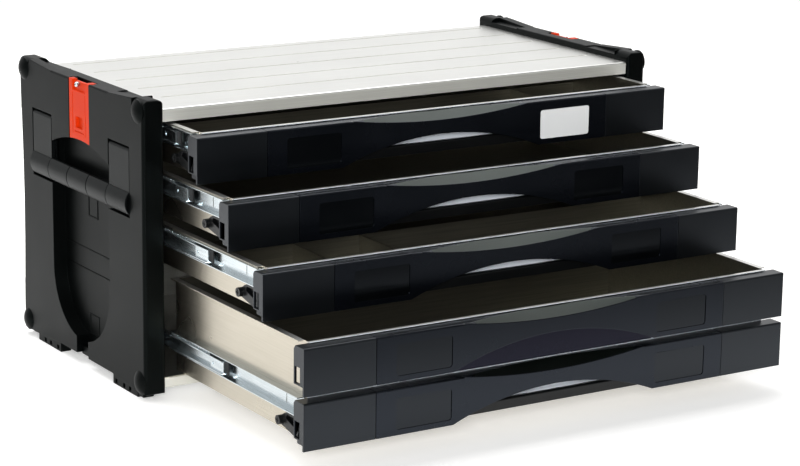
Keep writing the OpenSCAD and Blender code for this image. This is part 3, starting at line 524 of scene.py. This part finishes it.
def scoopShape(piece, low, high):
    # the ramp is cut by a tilted cylinder that meets the face along the scoop's arc
    radius = (scoop["half"] ** 2 + scoop["depth"] ** 2) / (2 * scoop["depth"])
    filling = block((-scoop["filled"], low[1], high[2] - scoop["thick"]),
                    (scoop["filled"], low[1] + scoop["deep"], high[2]))
    combine(piece, filling, "UNION")
    tilt = atan2(scoop["depth"], scoop["reach"])
    along = scoop["deep"] / 2
    place = (0, low[1] - sin(tilt) * radius + cos(tilt) * along,
             high[2] - scoop["depth"] + cos(tilt) * radius + sin(tilt) * along)
    bpy.ops.mesh.primitive_cylinder_add(vertices=scoop["facets"], radius=radius * mm,
                                        depth=4 * scoop["deep"] * mm,
                                        location=[v * mm for v in place],
                                        rotation=(radians(90) + tilt, 0, 0))
    combine(piece, bpy.context.object, "DIFFERENCE")
    # on the upper fronts the rear wall hangs lower, a dark skirt of painted shade over the tray
    # wall
    if "upper" in piece.name:
        wall = low[1] + rearWall["back"]
        skirt = block((-rearWall["half"], wall, low[2] - rearWall["drop"]),
                      (rearWall["half"], wall + rearWall["thick"], low[2] + rearWall["overlap"]))
        combine(piece, skirt, "UNION")


def frontFinishAndPaintedLight(spot, normal, low, high):
    behind = spot.y - low[1]
    square = normal.y < -looks["squarely"]
    if square and abs(behind - label["depth"]) < label["slack"]:
        return labelFilm
    # the face of the rear wall gets painted shade
    if square and behind > rearWall["back"] - label["slack"]:
        return shadedPlastic
    # the scoop's sloping faces get the painted reflection
    sloping = normal.y < -ramp["forwards"] and normal.z > ramp["upwards"]
    if sloping and spot.z > high[2] - ramp["below"] and behind > ramp["behind"]:
        return scoopPlastic


for row in ("1", "2", "3", "4_upper", "4_lower"):
    piece = softened(f"front_{row}", f"front.{row}", frontPlastic,
                     corner=20, shape=scoopShape)
    paint(piece, f"front_{row}", [labelFilm, shadedPlastic, scoopPlastic], frontFinishAndPaintedLight)
    for side in ("left", "right"):
        softened(f"cap_{side}_{row}", f"endCap.{side}.{row}", capPlastic)
softened("badge_plate", "badgePlate", whiteEnamel)

print("runner balls")
# one row of balls in its cage above and one below the web of each intermediate member, all in mm:
# inset from its outer face, start from its front end, rise from its middle. The cage has a width,
# a thickness, an overhang past the end balls and a rounding. So small a ball needs few facets.
balls = {"size": 1.7, "facets": (8, 6), "count": 15, "pitch": 5.5,
         "inset": 2.6, "start": 31, "rise": 7.65,
         "cageWide": 1.1, "cageThick": 0.7, "cageOver": 3, "cageRound": 0.15}


def ballRow(k):
    low, high = boxOf(f"mid_runners_{k}")
    x, y = low[0] + balls["inset"], low[1] + balls["start"]
    middle = (low[2] + high[2]) / 2
    z = middle + balls["rise"]
    deselect()
    around, rings = balls["facets"]
    bpy.ops.mesh.primitive_uv_sphere_add(segments=around, ring_count=rings,
                                         radius=balls["size"] / 2 * mm,
                                         location=(x * mm, y * mm, z * mm))
    bpy.ops.object.transform_apply(location=True, rotation=True, scale=True)
    row = bpy.context.object
    row.name = f"runnerBalls.{k}"
    line = row.modifiers.new("line", "ARRAY")
    line.use_relative_offset = False
    line.use_constant_offset = True
    line.constant_offset_displace = (0, balls["pitch"] * mm, 0)
    line.count = balls["count"]
    bpy.ops.object.modifier_apply(modifier=line.name)

    last = y + balls["pitch"] * (balls["count"] - 1)
    wide, thick, over = balls["cageWide"] / 2, balls["cageThick"] / 2, balls["cageOver"]
    cage = block((x - wide, y - over, z - thick), (x + wide, last + over, z + thick))
    cage.data.materials.append(zincSteel)
    bpy.ops.object.mode_set(mode="EDIT")
    bpy.ops.mesh.select_all(action="SELECT")
    bpy.ops.mesh.bevel(offset=balls["cageRound"] * mm, segments=mesh["segments"])
    bpy.ops.object.mode_set(mode="OBJECT")
    row.data.materials.append(zincSteel)
    row.select_set(True)
    bpy.context.view_layer.objects.active = row
    bpy.ops.object.join()

    # mirrored down to the lower row, then across to the runner on the other side
    for axes, height in (((False, False, True), middle), ((True, False, False), 0)):
        bpy.ops.object.mode_set(mode="EDIT")
        bpy.ops.mesh.select_all(action="SELECT")
        bpy.ops.mesh.duplicate()
        bpy.ops.transform.mirror(constraint_axis=axes, center_override=(0, 0, height * mm))
        bpy.ops.mesh.flip_normals()
        bpy.ops.object.mode_set(mode="OBJECT")
    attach(row, frame["nodes"][f"mid_runners_{k}"]["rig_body"])


for k in (1, 2, 3, 4):
    ballRow(k)
